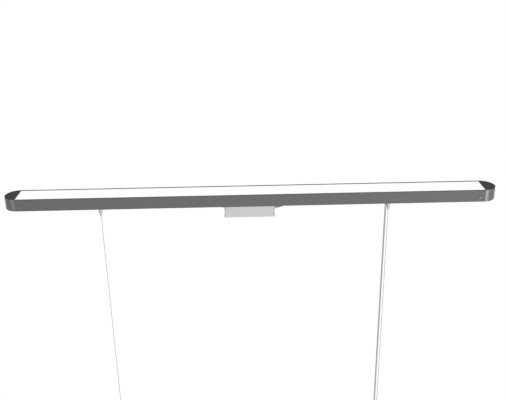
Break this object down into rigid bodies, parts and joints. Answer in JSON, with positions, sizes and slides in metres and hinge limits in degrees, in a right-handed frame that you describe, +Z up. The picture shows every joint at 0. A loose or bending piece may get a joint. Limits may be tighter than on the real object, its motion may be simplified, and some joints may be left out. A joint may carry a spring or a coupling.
{
  "type": "suspended linear strip lamp",
  "caption": "Suspended linear strip lamp with half-round end caps, opal light face, rear slot, driver box and two cable grips.",
  "frame": {"origin": "middle of the four ceiling screw holes, on the ceiling plane", "axes": "+Z up to the ceiling, X along the bar, the suspension wires in the plane Y = 0"},
  "size_m": [1.2, 0.0676, 0.721],
  "materials": {
    "bar_paint": "satin powder coat, dark grey",
    "opal": "opal, lit from behind",
    "board_white": "white solder mask",
    "led": "phosphor",
    "cover_grey": "matt",
    "screw_steel": "zinc plated",
    "nickel": "satin nickel",
    "steel_wire": "stranded steel",
    "plate_steel": "zinc plated",
    "case_aluminium": "extruded, clear anodised",
    "board_green": "solder mask",
    "component_black": "moulded",
    "black_plastic": "moulded",
    "grey_plastic": "moulded",
    "white_plastic": "moulded",
    "cable_grey": "soft sheath",
    "wire_red": "soft insulation",
    "wire_black": "soft insulation",
    "lead_grey": "soft sheath",
    "cream_plastic": "moulded"
  },
  "bodies": {
    "ceiling_fittings": {"ceiling_plate": "plate_steel", "ceiling_cup": "nickel", "feed_plate": "plate_steel", "feed_cup": "nickel", "splice_terminal": "white_plastic"},
    "pendant": {"board_link": "board_white", "body_profile": "bar_paint", "cable_bushing": "grey_plastic", "cable_clips": "black_plastic", "cable_stop": "black_plastic", "connector_plug": "cream_plastic", "connector_socket": "cream_plastic", "control_terminal": "grey_plastic", "driver_board": "board_green", "driver_capacitors": "component_black", "driver_case": "case_aluminium", "driver_choke": "component_black", "driver_end_plate_left": "case_aluminium", "driver_end_plate_right": "case_aluminium", "driver_foot_left": "black_plastic", "driver_foot_right": "black_plastic", "driver_lead": "lead_grey", "driver_screws": "screw_steel", "driver_transformer": "component_black", "end_cap_left": "bar_paint", "end_cap_right": "bar_paint", "end_cap_screws": "screw_steel", "foot_nuts": "screw_steel", "foot_screws": "screw_steel", "grip_barrel_left": "nickel", "grip_barrel_right": "nickel", "grip_spring_left": "steel_wire", "grip_spring_right": "steel_wire", "grip_stud_left": "nickel", "grip_stud_right": "nickel", "led_board_left": "board_white", "led_board_right": "board_white", "led_chips": "led", "opal_diffuser": "opal", "output_terminal": "black_plastic", "output_wire_black": "wire_black", "output_wire_red": "wire_red", "slot_cover_left": "cover_grey", "slot_cover_right": "cover_grey", "slot_nut_left": "screw_steel", "slot_nut_right": "screw_steel", "supply_cable": "cable_grey", "suspension_wire_left": "steel_wire", "suspension_wire_right": "steel_wire", "terminal_levers": "white_plastic", "wire_ball_left": "nickel", "wire_ball_right": "nickel", "wire_grommet": "black_plastic"},
    "grip_release_left": {"grip_plunger_left": "nickel", "grip_balls_left": "steel_wire"},
    "grip_release_right": {"grip_plunger_right": "nickel", "grip_balls_right": "steel_wire"}
  },
  "joints": [
    {"name": "pendant_swing", "type": "hinge", "parent": "ceiling_fittings", "child": "pendant", "pos_m": [0, 0, -0.01636], "axis": [1, 0, 0], "range_deg": [-12, 12]},
    {"name": "grip_left_press", "type": "slide", "parent": "pendant", "child": "grip_release_left", "axis": [0, 0, -1], "range_m": [0, 0.002], "stiffness_N_per_m": 400, "springref_m": -0.004, "deforming": ["grip_spring_left"]},
    {"name": "grip_right_press", "type": "slide", "parent": "pendant", "child": "grip_release_right", "axis": [0, 0, -1], "range_m": [0, 0.002], "stiffness_N_per_m": 400, "springref_m": -0.004, "deforming": ["grip_spring_right"]}
  ]
}
